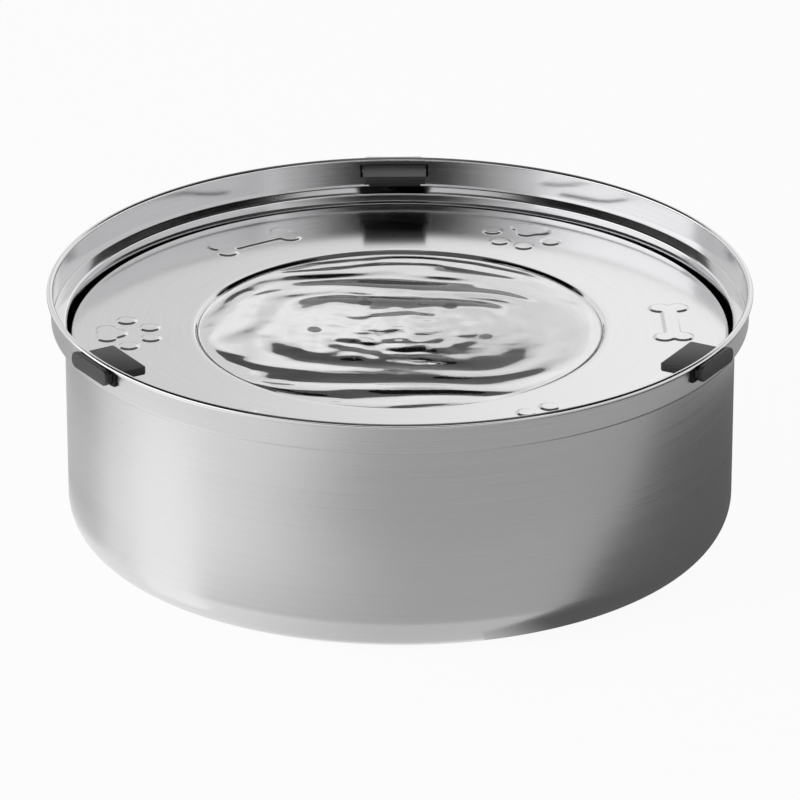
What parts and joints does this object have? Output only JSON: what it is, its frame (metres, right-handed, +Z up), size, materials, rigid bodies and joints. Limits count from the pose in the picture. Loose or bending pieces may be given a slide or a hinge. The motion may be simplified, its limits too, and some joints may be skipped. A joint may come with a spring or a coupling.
{
  "type": "no-spill water bowl",
  "caption": "Round steel pet water bowl with a floating stamped disk that wells up water in a shallow dish, held in by slide latches in the collar.",
  "frame": {"origin": "centre of the silicone pad's underside, on the floor", "axes": "+Z up along the bowl's axis; +X to the right and +Y away in the picture's view, with the back latch just left of +Y"},
  "size_m": [0.27, 0.2724, 0.099],
  "materials": {
    "drawn_steel": "deep drawn stainless steel sheet, fine turned brushing round the wall",
    "stamped_steel": "stamped stainless steel sheet, polished",
    "float_plastic": "moulded polypropylene, satin",
    "latch_plastic": "moulded ABS, fine spark-eroded grain",
    "grip_plastic": "moulded ABS, satin",
    "guide_plastic": "moulded acetal, satin",
    "base_silicone": "moulded silicone, matt"
  },
  "bodies": {
    "bowl": {"bowl_shell": "drawn_steel", "base_pad": "base_silicone", "back_latch_guide": "guide_plastic", "left_latch_guide": "guide_plastic", "right_latch_guide": "guide_plastic"},
    "disk": {"disk_plate": "stamped_steel", "float_cover": "float_plastic", "float_tray": "float_plastic"},
    "back_latch": {"back_latch_tongue": "latch_plastic", "back_latch_grip": "grip_plastic"},
    "left_latch": {"left_latch_tongue": "latch_plastic", "left_latch_grip": "grip_plastic"},
    "right_latch": {"right_latch_tongue": "latch_plastic", "right_latch_grip": "grip_plastic"}
  },
  "joints": [
    {"name": "disk_float", "type": "slide", "parent": "bowl", "child": "disk", "axis": [0, 0, 1], "range_m": [-0.0635, 0.0097], "stiffness_N_per_m": 250, "springref_m": 0.0139},
    {"name": "back_latch_slide", "type": "slide", "parent": "bowl", "child": "back_latch", "axis": [-0.0175, 0.9998, 0], "range_m": [0, 0.0093]},
    {"name": "left_latch_slide", "type": "slide", "parent": "bowl", "child": "left_latch", "axis": [-0.8572, -0.515, 0], "range_m": [0, 0.0093]},
    {"name": "right_latch_slide", "type": "slide", "parent": "bowl", "child": "right_latch", "axis": [0.8746, -0.4848, 0], "range_m": [0, 0.0093]}
  ]
}
